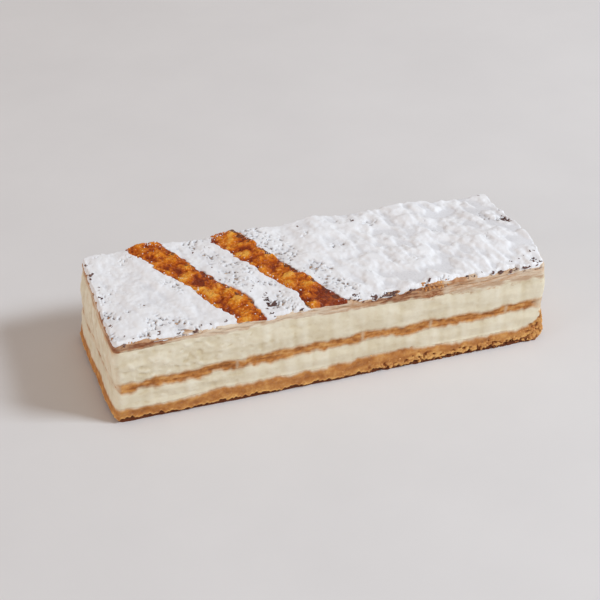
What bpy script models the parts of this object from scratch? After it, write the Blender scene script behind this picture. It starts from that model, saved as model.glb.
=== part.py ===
"""A mille feuille: three baked puff pastry sheets with two thick layers of vanilla cream between them.

Metres, +Z up. +X runs along the length, -Y is the front. The origin is the centre of the underside.
"""

import math

import bmesh
import bpy

# Driving dimensions
LENGTH = 0.260  # of the top sheet, end to end
WIDTH = 0.0890  # of the top sheet, front to back
BASE_THICK = 0.0113  # the thick bottom sheet
LOWER_CREAM_THICK = 0.0119
MIDDLE_THICK = 0.0062  # the thin sheet in the middle
UPPER_CREAM_THICK = 0.0196
TOP_THICK = 0.0058  # the top sheet with its coat of icing sugar

HALF_LENGTH = LENGTH / 2
HALF_WIDTH = WIDTH / 2
HEIGHT = BASE_THICK + LOWER_CREAM_THICK + MIDDLE_THICK + UPPER_CREAM_THICK + TOP_THICK

# How the block spreads towards the table, and how its corners round off
LEFT_FLARE = 0.0032
LEFT_SKEW = 0.0014  # how much more the left end spreads at the back, and less at the front
RIGHT_FLARE = 0.0018
RIGHT_BOW = 0.0030  # the right end was pressed out of square, most around RIGHT_BOW_CENTRE
RIGHT_BOW_CENTRE = -0.014
RIGHT_BOW_REACH = 0.024
SIDE_FLARE = 0.0006
CORNER_RADIUS = 0.0040  # of the upright corners, seen from above
SHARP_ANGLE = 40  # degrees: flatter edges are shaded smooth
LAYER_GAP = 0.0003  # between two layers that lie on each other

# The grid that every layer is cut into, so that two touching faces follow each other
CELLS_ALONG = 34
CELLS_ACROSS = 10

# Rises, and dips where the height is negative: (centre X and Y), (reach along X and Y), height
BASE_LIP = ((0.131, -0.012), (0.0075, 0.045), 0.0085)
BASE_CROWN = ((0.028, -0.030), (0.032, 0.040), 0.0021)
BASE_LEFT_DIP = ((-0.130, 0.0), (0.045, 0.090), -0.0022)
MIDDLE_LEFT_DIP = ((-0.130, 0.0), (0.030, 0.090), -0.0026)
MIDDLE_CROWN = ((0.004, 0.0), (0.034, 0.090), 0.0012)
CREAM_RIGHT_DIP = ((0.045, -0.020), (0.038, 0.060), -0.0022)
CREAM_BACK_DIP = ((0.120, 0.042), (0.034, 0.030), -0.0024)
TOP_FRONT_HUMP = ((0.062, -0.0445), (0.013, 0.016), 0.0036)
TOP_FRONT_MIDDLE = ((-0.010, -0.0445), (0.022, 0.020), 0.0011)
TOP_RIGHT_DOME = ((0.118, -0.014), (0.030, 0.022), 0.0020)
TOP_BACK_DIP = ((0.120, 0.042), (0.034, 0.026), -0.0036)
BACK_HUMPS = (
    ((-0.092, 0.0445), (0.013, 0.020), 0.0036),
    ((-0.036, 0.0445), (0.013, 0.020), 0.0024),
    ((0.011, 0.0445), (0.013, 0.020), 0.0030),
    ((0.078, 0.0445), (0.013, 0.020), 0.0014),
)
HUMP_SHARE_OF_CREAM = 0.6  # the cream under a hump rises by this share of it
TOP_CROWN = 0.0008  # how much higher the top sheet is along its middle line than at the edges
MIDDLE_TILT = 0.0010  # how much higher the middle sheet is at the right end than halfway along

# Long waves in the sheets: wavelength, height, phase in radians
RIPPLE_SLANT = 0.45
BASE_RIPPLE = (0.085, 0.0004, 0.8)
MIDDLE_RIPPLE = (0.046, 0.0007, 1.2)
MIDDLE_THICK_RIPPLE = (0.031, 0.0005, 1.4)
CREAM_RIPPLE = (0.060, 0.0005, 0.3)
TOP_RIPPLES = ((0.034, 0.0004, 2.1), (0.051, 0.0005, 0.7))

# The sides from bottom to top, as (share of the layer's height, outward offset)
BASE_SIDE = ((0.0, -0.0014), (0.20, 0.0010), (0.62, 0.0012), (1.0, 0.0002))
LOWER_CREAM_SIDE = ((0.0, -0.0002), (0.50, 0.0006), (1.0, 0.0))
MIDDLE_SIDE = ((0.0, -0.0003), (0.50, 0.0001), (1.0, -0.0003))
UPPER_CREAM_SIDE = ((0.0, 0.0), (0.50, 0.0008), (1.0, -0.0002))
TOP_SIDE = ((0.0, -0.0004), (0.50, 0.0003), (1.0, -0.0005))

# Finish: base colour and roughness
BASE_FINISH = ((0.56, 0.30, 0.12), 0.85)
CREAM_FINISH = ((0.86, 0.79, 0.60), 0.50)
MIDDLE_FINISH = ((0.52, 0.27, 0.11), 0.85)
TOP_FINISH = ((0.86, 0.84, 0.80), 0.80)


def clear_scene():
    for obj in list(bpy.data.objects):
        bpy.data.objects.remove(obj, do_unlink=True)


def swell(x, y, centre, reach, height):
    """A smooth rise or dip that has faded out two reaches from its centre."""
    along = (x - centre[0]) / reach[0]
    across = (y - centre[1]) / reach[1]
    return height * math.exp(-along * along - across * across)


def ripple(x, y, wavelength, height, phase):
    """A long wave that runs slantwise, so that the front and the back differ."""
    return height * math.sin(math.tau * (x + RIPPLE_SLANT * y) / wavelength + phase)


def back_humps(x, y):
    return sum(swell(x, y, *hump) for hump in BACK_HUMPS)


# The faces between the layers, as heights above the table


def table(x, y):
    return 0.0


def base_top(x, y):
    swells = swell(x, y, *BASE_LIP) + swell(x, y, *BASE_CROWN) + swell(x, y, *BASE_LEFT_DIP)
    return BASE_THICK + swells + ripple(x, y, *BASE_RIPPLE)


def middle_line(x, y):
    """The mid-height of the middle sheet."""
    level = BASE_THICK + LOWER_CREAM_THICK + MIDDLE_THICK / 2
    swells = swell(x, y, *MIDDLE_LEFT_DIP) + swell(x, y, *MIDDLE_CROWN)
    return level + MIDDLE_TILT * x / HALF_LENGTH + swells + ripple(x, y, *MIDDLE_RIPPLE)


def middle_half_thickness(x, y):
    return (MIDDLE_THICK + ripple(x, y, *MIDDLE_THICK_RIPPLE)) / 2


def middle_bottom(x, y):
    return middle_line(x, y) - middle_half_thickness(x, y)


def middle_top(x, y):
    return middle_line(x, y) + middle_half_thickness(x, y)


def upper_cream_top(x, y):
    level = HEIGHT - TOP_THICK + ripple(x, y, *CREAM_RIPPLE)
    swells = swell(x, y, *CREAM_RIGHT_DIP) + swell(x, y, *CREAM_BACK_DIP)
    return level + swells + HUMP_SHARE_OF_CREAM * back_humps(x, y)


def top_face(x, y):
    level = HEIGHT + TOP_CROWN * (1.0 - (y / HALF_WIDTH) ** 2)
    front = swell(x, y, *TOP_FRONT_HUMP) + swell(x, y, *TOP_FRONT_MIDDLE)
    right = swell(x, y, *TOP_RIGHT_DOME) + swell(x, y, *TOP_BACK_DIP)
    blisters = sum(ripple(x, -y, *wave) for wave in TOP_RIPPLES)
    return level + front + right + back_humps(x, y) + blisters


# Each layer: name, the face under it, the face over it, its side and its finish
LAYERS = (
    ("base_pastry", table, base_top, BASE_SIDE, BASE_FINISH),
    ("lower_cream", base_top, middle_bottom, LOWER_CREAM_SIDE, CREAM_FINISH),
    ("middle_pastry", middle_bottom, middle_top, MIDDLE_SIDE, MIDDLE_FINISH),
    ("upper_cream", middle_top, upper_cream_top, UPPER_CREAM_SIDE, CREAM_FINISH),
    ("top_pastry", upper_cream_top, top_face, TOP_SIDE, TOP_FINISH),
)


def rounded_corner(x, y):
    """Moves a point of the sharp rectangle so that the upright corners become quarter rounds."""
    past_x = abs(x) - (HALF_LENGTH - CORNER_RADIUS)
    past_y = abs(y) - (HALF_WIDTH - CORNER_RADIUS)
    if past_x <= 0 or past_y <= 0:
        return x, y
    keep = max(past_x, past_y) / math.hypot(past_x, past_y)
    new_x = HALF_LENGTH - CORNER_RADIUS + past_x * keep
    new_y = HALF_WIDTH - CORNER_RADIUS + past_y * keep
    return math.copysign(new_x, x), math.copysign(new_y, y)


def end_outward(is_left, y, z):
    """How far an end stands out from the plain rectangle, at one point of it."""
    spread = 1.0 - z / HEIGHT
    if is_left:
        return spread * (LEFT_FLARE + LEFT_SKEW * y / HALF_WIDTH)
    from_bow = (y - RIGHT_BOW_CENTRE) / RIGHT_BOW_REACH
    return spread * RIGHT_FLARE + RIGHT_BOW * math.exp(-from_bow * from_bow)


def cut_into_cells(bm, axis, cells):
    """Divides every edge that runs along one axis of the starting cube."""
    along = []
    for edge in bm.edges:
        span = edge.verts[1].co - edge.verts[0].co
        if abs(span[axis]) > 0.5 * span.length:
            along.append(edge)
    bmesh.ops.subdivide_edges(bm, edges=along, cuts=cells - 1, use_grid_fill=True)


def shape_layer(bm, under, over, side):
    """Bends the gridded cube, whose faces are 1 from its middle, into one layer of the cake."""
    edge_of_cube = 0.999
    for vert in bm.verts:
        u, v = vert.co.x, vert.co.y
        level = round((vert.co.z + 1.0) / 2 * (len(side) - 1))
        share, outward = side[level]
        x, y = u * HALF_LENGTH, v * HALF_WIDTH
        floor = under(x, y) + (0.0 if under is table else LAYER_GAP / 2)
        roof = over(x, y) - (0.0 if over is top_face else LAYER_GAP / 2)
        z = floor + share * (roof - floor)
        new_x, new_y = rounded_corner(x, y)
        if abs(u) > edge_of_cube:
            new_x += math.copysign(outward + end_outward(u < 0, y, z), u)
        if abs(v) > edge_of_cube:
            new_y += math.copysign(outward + SIDE_FLARE * (1.0 - z / HEIGHT), v)
        vert.co = (new_x, new_y, z)


def make_material(name, colour, roughness):
    material = bpy.data.materials.new(name)
    material.use_nodes = True
    shader = material.node_tree.nodes["Principled BSDF"]
    shader.inputs["Base Color"].default_value = (*colour, 1.0)
    shader.inputs["Roughness"].default_value = roughness
    shader.inputs["Metallic"].default_value = 0.0
    return material


def make_layer(collection, name, under, over, side, finish):
    bm = bmesh.new()
    bmesh.ops.create_cube(bm, size=2.0)
    cut_into_cells(bm, 0, CELLS_ALONG)
    cut_into_cells(bm, 1, CELLS_ACROSS)
    cut_into_cells(bm, 2, len(side) - 1)
    shape_layer(bm, under, over, side)
    # The shorter diagonal is the same on both sides of a seam, so two touching faces stay parallel
    bmesh.ops.triangulate(bm, faces=bm.faces, quad_method="SHORT_EDGE")
    bmesh.ops.recalc_face_normals(bm, faces=bm.faces)
    mesh = bpy.data.meshes.new(name)
    bm.to_mesh(mesh)
    bm.free()
    mesh.shade_smooth()
    mesh.set_sharp_from_angle(angle=math.radians(SHARP_ANGLE))
    mesh.materials.append(make_material(name, *finish))
    layer = bpy.data.objects.new(name, mesh)
    collection.objects.link(layer)
    return layer


def centre_on_origin(layers):
    """Puts the middle of the whole block's plan over the origin."""
    points = [vert.co for layer in layers for vert in layer.data.vertices]
    for axis in (0, 1):
        low = min(point[axis] for point in points)
        high = max(point[axis] for point in points)
        for layer in layers:
            layer.location[axis] = -(low + high) / 2


def main():
    clear_scene()
    collection = bpy.data.collections.new("mille_feuille")
    bpy.context.scene.collection.children.link(collection)
    layers = [make_layer(collection, *layer) for layer in LAYERS]
    centre_on_origin(layers)


main()
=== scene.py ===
"""The looks of a mille feuille strip: flaky pastry, drawn cream, icing sugar and bands of caramel.

Metres, +Z up. +X runs along the strip, and -Y is its front.
"""

import math

import bmesh
import bpy
import numpy as np
from mathutils import Euler, Matrix, Vector, noise
from mathutils.bvhtree import BVHTree


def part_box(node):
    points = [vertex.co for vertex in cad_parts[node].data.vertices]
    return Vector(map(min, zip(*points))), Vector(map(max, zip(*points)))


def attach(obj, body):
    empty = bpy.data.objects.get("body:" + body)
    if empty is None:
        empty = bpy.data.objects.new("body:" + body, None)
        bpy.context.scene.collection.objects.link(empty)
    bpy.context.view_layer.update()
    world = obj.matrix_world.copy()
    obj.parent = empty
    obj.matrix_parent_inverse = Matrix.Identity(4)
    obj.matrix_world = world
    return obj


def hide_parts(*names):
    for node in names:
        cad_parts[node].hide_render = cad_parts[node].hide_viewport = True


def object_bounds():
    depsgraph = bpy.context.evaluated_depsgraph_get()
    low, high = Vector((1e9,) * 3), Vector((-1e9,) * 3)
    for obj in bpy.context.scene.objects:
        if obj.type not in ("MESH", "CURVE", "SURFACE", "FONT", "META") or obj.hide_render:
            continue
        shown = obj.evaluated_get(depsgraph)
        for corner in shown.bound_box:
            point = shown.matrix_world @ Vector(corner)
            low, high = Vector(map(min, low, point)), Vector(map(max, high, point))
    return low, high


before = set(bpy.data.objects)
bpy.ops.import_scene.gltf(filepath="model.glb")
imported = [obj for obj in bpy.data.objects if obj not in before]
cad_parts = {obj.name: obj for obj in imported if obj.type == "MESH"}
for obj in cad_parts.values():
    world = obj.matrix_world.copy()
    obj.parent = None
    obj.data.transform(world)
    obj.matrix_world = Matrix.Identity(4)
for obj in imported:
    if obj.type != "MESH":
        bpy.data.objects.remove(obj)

cad_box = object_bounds()

MM = 0.001

LAYERS = ("base_pastry", "lower_cream", "middle_pastry", "upper_cream", "top_pastry")
TOP_LOW, TOP_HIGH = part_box("top_pastry")
LONG, WIDE = TOP_HIGH.x - TOP_LOW.x, TOP_HIGH.y - TOP_LOW.y

# How finely the pieces are cut
COLUMNS_AROUND = 1400
BASE_ROWS, LOWER_ROWS, MIDDLE_ROWS, UPPER_ROWS, TOP_ROWS = 30, 24, 14, 36, 14
LEDGE = (7.0, 3.0, 1.2, 0.4)  # how far in each row of a hidden ledge lies, in mm
OVERLAP = 0.05 * MM  # how far two layers run into each other
CORNER_RADIUS = 4.0 * MM
TOP_CELL = 0.70 * MM
SUGAR_CELL = 0.55 * MM
CARAMEL_CELL = 0.40 * MM

# The coat on the top sheet
SUGAR_DEPTH = 1.1  # mm
CRUST = 0.35  # how uneven the sheet under it is, in mm
RIM_ROUND = 1.3 * MM
SHOULDER = 50.0 * MM  # height at which the top sheet's outline is taken

# The two bands: where their middle line meets the back edge and the front edge, and their width
# along X, in mm
BANDS = ((-92.5, -48.5, 19.6), (-46.0, -3.5, 18.3))
SLANT = math.radians(25.5)
BAND_MARGIN = 3.5  # how far a band's own sheet reaches past its edges, in mm
BAND_TUCK = 3.0  # how far the sheets of sugar reach under the edges of the bands, in mm

# The rims of the sugar and the caramel are drawn down into the top sheet, which closes them below
SKIRT_ROWS = 2
SKIRT_STEP = 0.6  # mm


# Small tools


def lerp(a, b, share):
    return a + (b - a) * share


def ease(low, high, value):
    """0 below low, 1 above high, and a smooth rise between them."""
    share = np.clip((value - low) / (high - low), 0.0, 1.0)
    return share * share * (3.0 - 2.0 * share)


def near(value, centre, reach):
    """1 at the centre, fading to nothing about two reaches away."""
    return np.exp(-(((value - centre) / reach) ** 2))


TWIST = np.array(Euler((0.62, 0.44, 0.81)).to_matrix())  # keeps the noise from lining up with the sides


def scaled(points, size, seed):
    """The points in lumps of this many mm, turned, and shifted by the seed."""
    return (points / (np.array(size) * MM) @ TWIST + seed).tolist()


def lumps(points, size, octaves=3, seed=0.0):
    """Rough noise around 0, mostly within -0.5 to 0.5, with lumps about this many mm across."""
    return np.array([noise.fractal(spot, 1.0, 2.0, octaves) for spot in scaled(points, size, seed)])


def slanted(points):
    """The same points turned so that Y runs along the caramel bands."""
    return points @ np.array(Matrix.Rotation(SLANT, 3, "Z"))


def pebbles(points, size, seed=0.0):
    """Rounded cells about this many mm across: 1 at the middle of a cell, near 0 in the creases."""
    return 1.0 - np.array([noise.voronoi(spot)[0][0] for spot in scaled(points, size, seed)])


# The block's own shape, read off the CAD layers


def tree_of(*nodes):
    corners, faces = [], []
    for node in nodes:
        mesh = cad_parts[node].data
        first = len(corners)
        corners += [vert.co.copy() for vert in mesh.vertices]
        faces += [tuple(first + index for index in face.vertices) for face in mesh.polygons]
    return BVHTree.FromPolygons(corners, faces)


class Face:
    """The upper face of one CAD layer, read on an even grid and smoothed, so that no facets show."""

    margin = 4.5 * MM
    counts = (132, 44)
    passes = 4

    def __init__(self, node):
        tree = tree_of(node)
        low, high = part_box(node)
        above = high.z + 0.01
        self.low = (low.x + self.margin, low.y + self.margin)
        ends = (high.x - self.margin, high.y - self.margin)
        self.step = [(ends[k] - self.low[k]) / (self.counts[k] - 1) for k in (0, 1)]
        along, across = (self.low[k] + np.arange(self.counts[k]) * self.step[k] for k in (0, 1))
        down = Vector((0, 0, -1))
        heights = np.array(
            [[tree.ray_cast(Vector((x, y, above)), down)[0].z for y in across] for x in along]
        )
        for _ in range(self.passes):
            padded = np.pad(heights, 1, mode="edge")
            blurred = (padded[:-2] + 2 * padded[1:-1] + padded[2:]) / 4
            heights = (blurred[:, :-2] + 2 * blurred[:, 1:-1] + blurred[:, 2:]) / 4
        self.heights = heights

    def at(self, x, y):
        i = np.clip((x - self.low[0]) / self.step[0], 0, self.counts[0] - 1.001)
        j = np.clip((y - self.low[1]) / self.step[1], 0, self.counts[1] - 1.001)
        i0, j0 = i.astype(int), j.astype(int)
        h = self.heights
        this = lerp(h[i0, j0], h[i0, j0 + 1], j - j0)
        that = lerp(h[i0 + 1, j0], h[i0 + 1, j0 + 1], j - j0)
        return lerp(this, that, i - i0)


class Outline:
    """How far the block's four sides stand out at each height, as smooth curves."""

    heights = np.array([0.6, 3.0, 8.0, 13.0, 18.0, 25.0, 32.0, 38.0, 44.0, 50.0]) * MM
    lifts = (-0.8, 0.0, 0.8)  # close rays in mm, so that none slips between two layers

    def __init__(self):
        self.tree = tree_of(*LAYERS)
        low, high = cad_box
        across = np.linspace(low[1] + 1.5 * CORNER_RADIUS, high[1] - 1.5 * CORNER_RADIUS, 13)
        along = np.linspace(0.8 * low[0], 0.8 * high[0], 13)
        ways = {
            "left": (0, -1, across, 5),
            "right": (0, 1, across, 5),
            "front": (1, -1, along, 0),
            "back": (1, 1, along, 0),
        }
        self.sides = {name: [self.curve(*way, z) for z in self.heights] for name, way in ways.items()}

    def curve(self, axis, side, spots, bends, z):
        return np.poly1d(np.polyfit(spots, [self.reach(axis, side, spot, z) for spot in spots], bends))

    def reach(self, axis, side, spot, z):
        hits = []
        for lift in self.lifts:
            start = [spot, spot, max(z + lift * MM, 0.2 * MM)]
            start[axis] = side
            way = [0, 0, 0]
            way[axis] = -side
            hit = self.tree.ray_cast(Vector(start), Vector(way))[0]
            if hit:
                hits.append(side * hit[axis])
        return side * max(hits)

    def at(self, side, spots, z):
        values = np.stack([curve(spots) for curve in self.sides[side]])
        last = len(self.heights) - 1
        row = np.clip(np.interp(z, self.heights, np.arange(last + 1)), 0, last - 0.001)
        under, pick = row.astype(int), np.arange(len(spots))
        return lerp(values[under, pick], values[under + 1, pick], row - under)


OUTLINE = Outline()
SEAM_FACES = [Face(node) for node in LAYERS[:4]]
TOP_FACE = Face("top_pastry")


def edges_at(y, z):
    """The left and right end of the block at each y and height, past the rounding of its corners."""
    front, back = OUTLINE.at("front", y, z), OUTLINE.at("back", y, z)
    inner = np.clip(y, front + CORNER_RADIUS, back - CORNER_RADIUS)
    return OUTLINE.at("left", inner, z), OUTLINE.at("right", inner, z)


def plan(u, v, z):
    """Where a point of the unit square (-1 to 1) lies in the block at height z.

    Returns x, y, the outward direction and the distance to the nearest side.
    """
    front, back = OUTLINE.at("front", v, z), OUTLINE.at("back", v, z)
    y = lerp(front, back, (v + 1) / 2)
    left, right = edges_at(y, z)
    x = lerp(left, right, (u + 1) / 2)
    middle = np.stack([(left + right) / 2, (front + back) / 2], 1)
    half = np.stack([(right - left) / 2, (back - front) / 2], 1)
    offset = np.stack([x, y], 1) - middle
    side = np.where(offset < 0, -1.0, 1.0)
    past = np.abs(offset) - (half - CORNER_RADIUS)
    in_corner = (past > 0).all(1)
    reach = np.maximum(np.hypot(past[:, 0], past[:, 1]), 1e-9)
    keep = np.where(in_corner, np.maximum(past[:, 0], past[:, 1]) / reach, 1.0)
    past = np.where(in_corner[:, None], past * keep[:, None], past)
    place = middle + side * (half - CORNER_RADIUS + past)
    outward = np.where(in_corner[:, None], np.maximum(past, 0), past >= past.max(1)[:, None])
    outward = side * outward / np.maximum(np.linalg.norm(outward, axis=1), 1e-9)[:, None]
    beyond = np.hypot(np.maximum(past[:, 0], 0), np.maximum(past[:, 1], 0))
    depth = CORNER_RADIUS - beyond - np.minimum(past.max(1), 0)
    return place[:, 0], place[:, 1], outward, depth


def unplan(x, y):
    """The unit square's u and v for a place on the top sheet."""
    z = np.full(len(x), SHOULDER)
    front, back = OUTLINE.at("front", y, z), OUTLINE.at("back", y, z)
    left, right = edges_at(y, z)
    u = (x - left) / (right - left) * 2 - 1
    return np.clip(u, -1, 1), np.clip((y - front) / (back - front) * 2 - 1, -1, 1)


def around(share):
    """The unit square's edge, walked once from the front left corner, towards the right first."""
    turns = np.cumsum([0, LONG, WIDE, LONG, WIDE]) / (2 * LONG + 2 * WIDE)
    return np.interp(share, turns, [-1, 1, 1, -1, -1]), np.interp(share, turns, [-1, -1, 1, 1, -1])


SEAM_WAVES = (0.50, 0.60, 0.40, 0.45)


def seam(k, x, y):
    """Height of the seam over layer k, which wanders a little more than the CAD one."""
    flat = np.stack([x, y, np.full_like(x, k * 0.05)], 1)
    waves = SEAM_WAVES[k] * lumps(flat, 11.0, 2) + 0.4 * SEAM_WAVES[k] * lumps(flat, 4.5, 1, 7.0)
    return SEAM_FACES[k].at(x, y) + waves * MM


# How far the cream is drawn over the pastry at each seam in mm, how ragged that line is, and how soft
CREEP = ((0.25, 2.2, 1.6), (0.10, 3.0, 1.8), (-0.2, 2.4, 1.8), (0.40, 3.0, 1.8))


def creep(k, spots, outward):
    """How far the cream covers the pastry at seam k, in mm; below 0 the pastry stains the cream."""
    x, y = spots[:, 0] / MM, spots[:, 1] / MM
    front, _, _, left = sides_of(outward)
    drawn, ragged, _ = CREEP[k]
    line = spots * (1, 1, 0.5) + k * 0.1
    cover = drawn + ragged * (0.65 * lumps(line, 9.0, 2, 111.0) + 0.42 * lumps(line, 3.6, 2, 114.0))
    if k == 0:
        torn = ease(118, 126, x)
        cover = cover - 8.5 * ease(121, 134, x) + 4.0 * torn * lumps(spots, 4.0, 2, 117.0) - 1.2 * left
    elif k == 3:
        brown = 1.0 * near(x, -112, 14) + 1.2 * near(x, 38, 22) + 3.6 * ease(62, 84, x)
        cover += front * (0.5 * near(x, -66, 26) + 1.2 * near(x, -112, 12) - brown)
        cover -= left * (0.5 + 2.2 * near(y, -40, 36))
    else:
        cover += 1.6 * left
    return cover


def covered(k, spots, outward, gap):
    """How much cream shows on pastry this many mm from seam k, from 0 to 1."""
    soft = CREEP[k][2]
    return ease(-soft, soft, creep(k, spots, outward) - gap)


def stained(k, spots, outward, gap):
    """How much pastry shows on cream this many mm from seam k, from 0 to 1."""
    soft = CREEP[k][2]
    return ease(-soft, soft, -creep(k, spots, outward) - gap)


def sides_of(outward):
    """How much a point belongs to the front, the right end, the back and the left end."""
    x, y = outward.T
    return [np.clip(share, 0, 1) for share in (-y, x, y, -x)]


def make_object(name, bm):
    mesh = bpy.data.meshes.new(name)
    bm.to_mesh(mesh)
    bm.free()
    mesh.shade_smooth()
    piece = bpy.data.objects.new(name, mesh)
    bpy.context.scene.collection.objects.link(piece)
    return piece


def build(name, bm, places, marks):
    """Moves every vertex of a sheet to its place, writes its marks, and closes the sheet to a piece."""
    for vert, place in zip(bm.verts, places.tolist()):
        vert.co = place
    for mark, values in marks.items():
        layer = bm.verts.layers.float.new(mark)
        for vert, value in zip(bm.verts, values.tolist()):
            vert[layer] = value
    bmesh.ops.remove_doubles(bm, verts=bm.verts, dist=1e-7)
    rim = [edge for edge in bm.edges if edge.is_boundary]
    caps = bmesh.ops.holes_fill(bm, edges=rim, sides=0)["faces"]
    bmesh.ops.poke(bm, faces=caps)
    bmesh.ops.recalc_face_normals(bm, faces=bm.faces)
    if bm.calc_volume(signed=True) < 0:
        bmesh.ops.reverse_faces(bm, faces=bm.faces)
    return make_object(name, bm)


def moved_out(spots, outward, reach):
    """The spots, each moved level along its outward direction."""
    places = spots.copy()
    places[:, :2] += outward * reach[:, None]
    return places


# The five layers


def side_spots(k, u, v, share):
    """Spots on the side of layer k, at this share of its height, and their distance to its seams."""
    x, y, _, _ = plan(u, v, np.full(len(u), 0.5 * SHOULDER))
    floor = seam(k - 1, x, y) - OVERLAP if k else np.zeros(len(u))
    roof = seam(k, x, y) + OVERLAP
    z = lerp(floor, roof, share)
    x, y, outward, _ = plan(u, v, z)
    gaps = (z - floor) / MM, (roof - z) / MM
    return np.stack([x, y, z], 1), outward, gaps


def roll_layer(name, k, rows, dress):
    """One layer's sides, rolled from a flat sheet, with a ledge turned in over and under it."""
    bm = bmesh.new()
    ledge = len(LEDGE)
    levels = rows + 2 * ledge
    bmesh.ops.create_grid(bm, x_segments=COLUMNS_AROUND, y_segments=levels, size=1.0)
    flat = np.array([vert.co for vert in bm.verts])
    u, v = around((flat[:, 0] + 1) / 2)
    level = np.rint((flat[:, 1] + 1) / 2 * levels).astype(int)
    share = np.clip((level - ledge) / rows, 0.0, 1.0)
    inset = np.array(LEDGE + (0.0,) * (rows + 1) + LEDGE[::-1])[level]
    spots, outward, gaps = side_spots(k, u, v, share)
    stand, marks = dress(spots, outward, gaps)
    return build(name, bm, moved_out(spots, outward, (stand - inset) * MM), marks)


DRAG_DEPTH = 0.20  # how deep the drag of the knife is, in mm


def swell(spots):
    """The soft bulges that run through all the layers of a side, in mm."""
    return 0.60 * lumps(spots, (18.0, 18.0, 9.0), 2, 23.0)


def cream_drags(spots):
    """The drag of a knife down the cream, shared by all pieces so that it runs on over the seams."""
    return lumps(spots, (5.5, 5.5, 26.0), 2, 20.0)


def cream_tone(drags):
    """How light the drawn cream is."""
    return 0.48 + 0.42 * drags


def calm(gaps):
    """0 at the seams, where neighbouring pieces have to meet, and 1 away from them."""
    return ease(0.0, 1.8, np.minimum(gaps[0], gaps[1]))


def crumble(spots):
    """How far crumbs stand out and how deep the pores between them are."""
    return pebbles(spots, 1.8, 4.0) - 0.5, ease(0.12, 0.36, lumps(spots, 2.4, 2, 9.0))


def dress_base(spots, outward, gaps):
    """Smooth and cut clean above, crumbly below towards the right, with a ragged foot of dark burnt crust
    that painted shade under the lip darkens further.
    """
    x, z = spots[:, 0] / MM, spots[:, 2] / MM
    front, right, back, _ = sides_of(outward)
    level = spots * (1, 1, 0)
    lip = 2.6 + 1.2 * lumps(level, 7.0, 2) + 2.4 * (pebbles(level, 2.7, 3.0) - 0.5)
    lip += 1.2 * lumps(level, 1.8, 1, 6.0)
    foot = 1.0 - ease(lip - 0.2, lip + 0.2, z)
    loose_top = 6.6 + 5.0 * lumps(level, 12.0, 3, 8.0)
    loose = (front * ease(-5, 45, x) + 0.7 * back) * (1 - ease(loose_top - 1.2, loose_top + 1.2, z))
    loose = np.clip(loose + right + 0.8 * ease(114, 128, x), 0, 1)
    crumbs, pores = crumble(spots)
    grain = lumps(spots, 2.6, 2)
    mottle = lumps(spots, (6.0, 6.0, 3.6), 2, 7.0)
    broad = lumps(spots, (14.0, 14.0, 5.0), 2, 5.0)
    veil = covered(0, spots, outward, gaps[1])
    drags = cream_drags(spots)
    # A ridge along the top of the foot, which stands out and is lightened in tone as a painted highlight
    lip_ridge_and_highlight = near(z, lip + 0.6, 0.5) * (1 - 0.6 * loose)
    smooth = 0.15 * mottle + 0.07 * grain
    stand = (
        swell(spots)
        + lerp(smooth, DRAG_DEPTH * drags, veil)
        + loose * (0.65 * crumbs - 0.95 * pores + 0.15)
        + 0.45 * lip_ridge_and_highlight
        - 0.9 * foot
        - 2.6 * right * (1 - ease(0, 8, z))
    )
    # The crumbs that stand out are lightened as painted light, the pores darkened as painted shade
    tone = 0.50 + 0.18 * broad + 0.20 * mottle + 0.16 * grain + loose * (0.22 + 0.5 * crumbs - 0.6 * pores)
    # Painted shade: near black at the foot, where burnt crust is shaded under the lip, and darker in the
    # pores
    scorch_and_shade = np.clip(1.25 * foot + (0.55 - 0.35 * right) * loose * pores, 0, 1)
    grit = 0.15 + 0.85 * np.maximum(loose, foot)
    tone = lerp(tone + 0.35 * lip_ridge_and_highlight, cream_tone(drags), veil)
    return stand, {"tone": tone, "scorch_and_shade": scorch_and_shade, "cream": veil, "grit": grit}


def dress_cream(spots, outward, gaps, stain, seed, stir):
    """Soft cream with the drag of a knife down it, stirred up most towards the left of the front."""
    x = spots[:, 0] / MM
    drags = cream_drags(spots)
    dabs = lumps(spots, (6.5, 6.5, 4.2), 2, seed)
    flecks = ease(0.26, 0.50, lumps(spots, (4.0, 4.0, 2.8), 1, seed + 3))
    pits = ease(0.30, 0.56, lumps(spots, (3.4, 3.4, 2.4), 1, seed + 4))
    rough = stir * (0.30 + 0.70 * near(x, -95, 50)) * calm(gaps)
    stand = swell(spots) + DRAG_DEPTH * drags + rough * (0.45 * dabs + 0.22 * flecks - 0.26 * pits)
    # Dabs and flecks that stand out are lightened as painted light, the pits darkened as painted shade
    tone = cream_tone(drags) + rough * (0.45 * dabs + 0.38 * flecks - 0.38 * pits)
    return stand, {"tone": tone, "scorch_and_shade": 0 * x, "cream": 1 - stain, "grit": 0 * x}


def dress_lower_cream(spots, outward, gaps):
    """Stained by both sheets, with crumbs of the base dragged into it towards the right."""
    below = stained(0, spots, outward, gaps[0])
    stain = np.maximum(below, stained(1, spots, outward, gaps[1]))
    stand, marks = dress_cream(spots, outward, gaps, stain, 25.0, 0.6)
    loose = below * ease(15, 60, spots[:, 0] / MM)
    crumbs, pores = crumble(spots)
    stand += loose * (0.65 * crumbs - 0.80 * pores + 0.15)
    # Crumbs lightened as painted light where they stand out, pores darkened as painted shade, here and
    # through the PORES colour
    marks["tone"] += loose * (0.22 + 0.5 * crumbs - 0.6 * pores)
    marks["scorch_and_shade"] = 0.5 * loose * pores
    marks["grit"] = loose
    return stand, marks


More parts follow.
